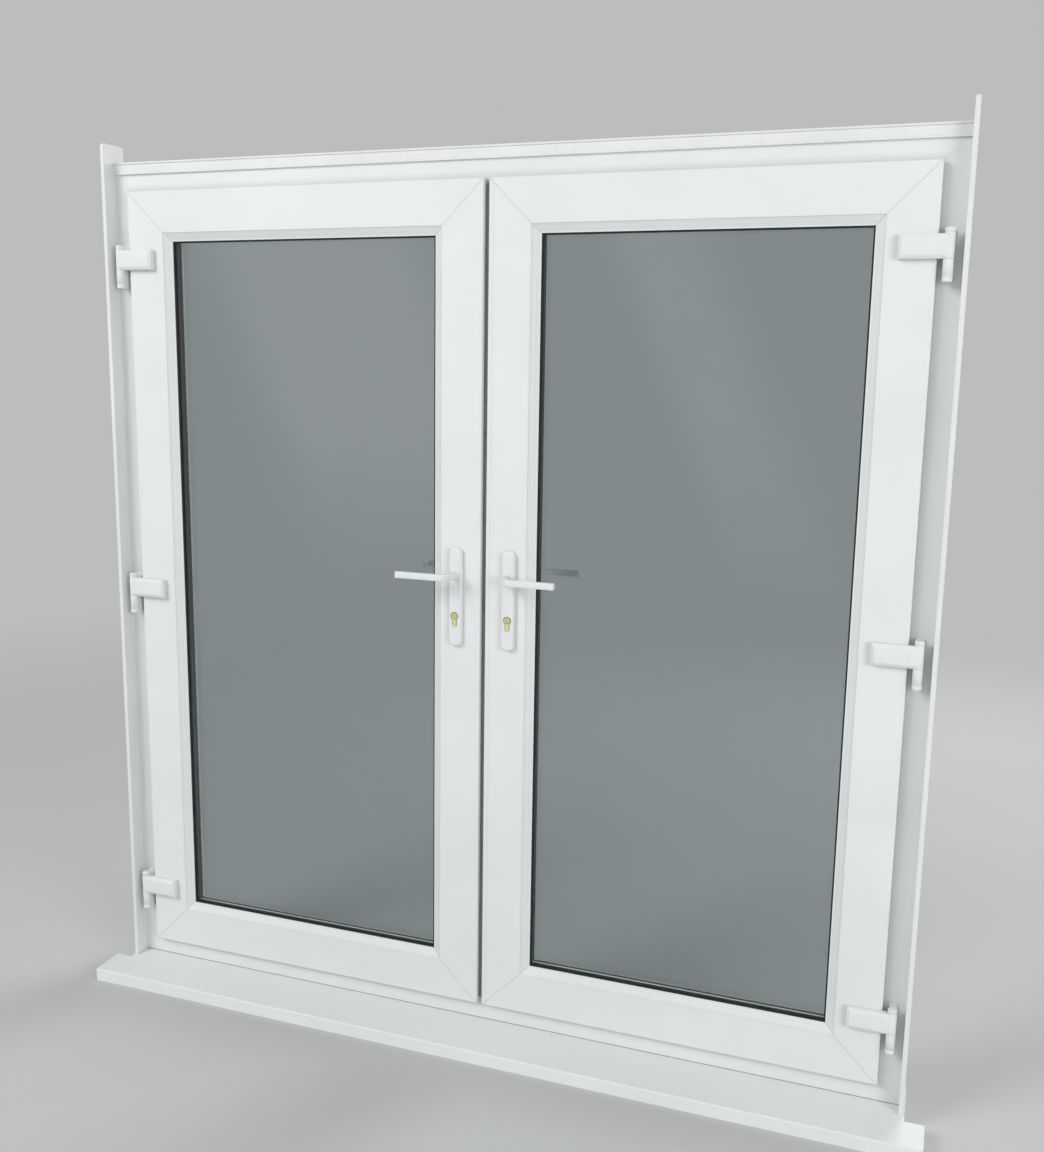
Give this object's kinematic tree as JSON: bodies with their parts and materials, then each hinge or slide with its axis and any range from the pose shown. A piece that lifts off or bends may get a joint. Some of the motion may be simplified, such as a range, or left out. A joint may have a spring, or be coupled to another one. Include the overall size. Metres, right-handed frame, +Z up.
{
  "type": "double door set",
  "caption": "White outward-opening glazed double doors in a mitred hollow-profile frame with flag hinges, lever handles and a projecting cill.",
  "frame": {"origin": "on the underside of the cill, at the meeting line of the two leaves and in the plane of the outer frame's outside face", "axes": "+X to the right seen from outside, +Y into the room, +Z up"},
  "size_m": [1.986, 0.249, 2.035],
  "materials": {
    "profile_white": "satin extruded plastic",
    "cill_white": "satin extruded plastic",
    "trim_white": "matt foamed plastic board",
    "bead_white": "satin extruded plastic",
    "cap_white": "moulded plastic",
    "gasket_black": "matt",
    "spacer_black": "matt warm-edge spacer",
    "clear_glass": "clear float glass",
    "hinge_white": "white powder coat",
    "handle_white": "white powder coat",
    "cylinder_brass": "pale brass",
    "galvanised_steel": "galvanised",
    "bright_steel": "bright zinc",
    "lock_steel": "zinc plated"
  },
  "bodies": {
    "frame": {"frame_head": "profile_white", "frame_sill": "profile_white", "frame_jamb_left": "profile_white", "frame_jamb_right": "profile_white", "frame_reinforcement": "galvanised_steel", "frame_gasket": "gasket_black", "cill": "cill_white", "cill_end_caps": "cill_white", "reveal_boards": "trim_white", "head_trim": "trim_white", "bolt_keeps": "lock_steel", "hinge_frame_parts": "hinge_white", "hinge_pins": "bright_steel"},
    "left_leaf": {"left_hinge_stile": "profile_white", "left_meeting_stile": "profile_white", "left_top_rail": "profile_white", "left_bottom_rail": "profile_white", "left_reinforcement": "galvanised_steel", "left_glass_panes": "clear_glass", "left_spacer_bar": "spacer_black", "left_glazing_gaskets": "gasket_black", "left_glazing_beads": "bead_white", "left_flange_gasket": "gasket_black", "left_hinge_flags": "hinge_white", "left_hinge_covers": "cap_white", "left_plate_outside": "handle_white", "left_plate_inside": "handle_white", "left_gearbox": "lock_steel", "left_cylinder": "cylinder_brass", "left_plate_screws": "bright_steel", "left_faceplate": "lock_steel"},
    "right_leaf": {"right_hinge_stile": "profile_white", "right_meeting_stile": "profile_white", "right_top_rail": "profile_white", "right_bottom_rail": "profile_white", "right_reinforcement": "galvanised_steel", "right_glass_panes": "clear_glass", "right_spacer_bar": "spacer_black", "right_glazing_gaskets": "gasket_black", "right_glazing_beads": "bead_white", "right_flange_gasket": "gasket_black", "right_hinge_flags": "hinge_white", "right_hinge_covers": "cap_white", "right_plate_outside": "handle_white", "right_plate_inside": "handle_white", "right_gearbox": "lock_steel", "right_cylinder": "cylinder_brass", "right_plate_screws": "bright_steel", "right_faceplate": "lock_steel", "mullion": "profile_white", "mullion_caps": "cap_white", "meeting_seal": "gasket_black"},
    "left_lever": {"left_levers": "handle_white", "left_spindle": "bright_steel"},
    "left_top_bolt": {"left_shoot_bolt_top": "bright_steel"},
    "left_bottom_bolt": {"left_shoot_bolt_bottom": "bright_steel"},
    "right_lever": {"right_levers": "handle_white", "right_spindle": "bright_steel"},
    "right_top_bolt": {"right_shoot_bolt_top": "bright_steel"},
    "right_bottom_bolt": {"right_shoot_bolt_bottom": "bright_steel"}
  },
  "joints": [
    {"name": "left_leaf_hinge", "type": "hinge", "parent": "frame", "child": "left_leaf", "pos_m": [-0.914, -0.027, 1.033], "axis": [0, 0, -1], "range_deg": [0, 95]},
    {"name": "right_leaf_hinge", "type": "hinge", "parent": "frame", "child": "right_leaf", "pos_m": [0.914, -0.027, 1.033], "axis": [0, 0, 1], "range_deg": [0, 95]},
    {"name": "left_lever_turn", "type": "hinge", "parent": "left_leaf", "child": "left_lever", "pos_m": [-0.062, 0.022, 1.091], "axis": [0, 1, 0], "range_deg": [0, 45]},
    {"name": "left_top_bolt_slide", "type": "slide", "parent": "left_leaf", "child": "left_top_bolt", "axis": [0, 0, 1], "range_m": [0, 0.02]},
    {"name": "left_bottom_bolt_slide", "type": "slide", "parent": "left_leaf", "child": "left_bottom_bolt", "axis": [0, 0, -1], "range_m": [0, 0.02]},
    {"name": "right_lever_turn", "type": "hinge", "parent": "right_leaf", "child": "right_lever", "pos_m": [0.062, 0.022, 1.091], "axis": [0, -1, 0], "range_deg": [0, 45]},
    {"name": "right_top_bolt_slide", "type": "slide", "parent": "right_leaf", "child": "right_top_bolt", "axis": [0, 0, 1], "range_m": [0, 0.02]},
    {"name": "right_bottom_bolt_slide", "type": "slide", "parent": "right_leaf", "child": "right_bottom_bolt", "axis": [0, 0, -1], "range_m": [0, 0.02]}
  ],
  "couplings": [
    {"joint": "left_top_bolt_slide", "follows": "left_lever_turn", "m_per_rad": 0.025337},
    {"joint": "left_bottom_bolt_slide", "follows": "left_lever_turn", "m_per_rad": 0.025337},
    {"joint": "right_top_bolt_slide", "follows": "right_lever_turn", "m_per_rad": 0.025337},
    {"joint": "right_bottom_bolt_slide", "follows": "right_lever_turn", "m_per_rad": 0.025337}
  ]
}
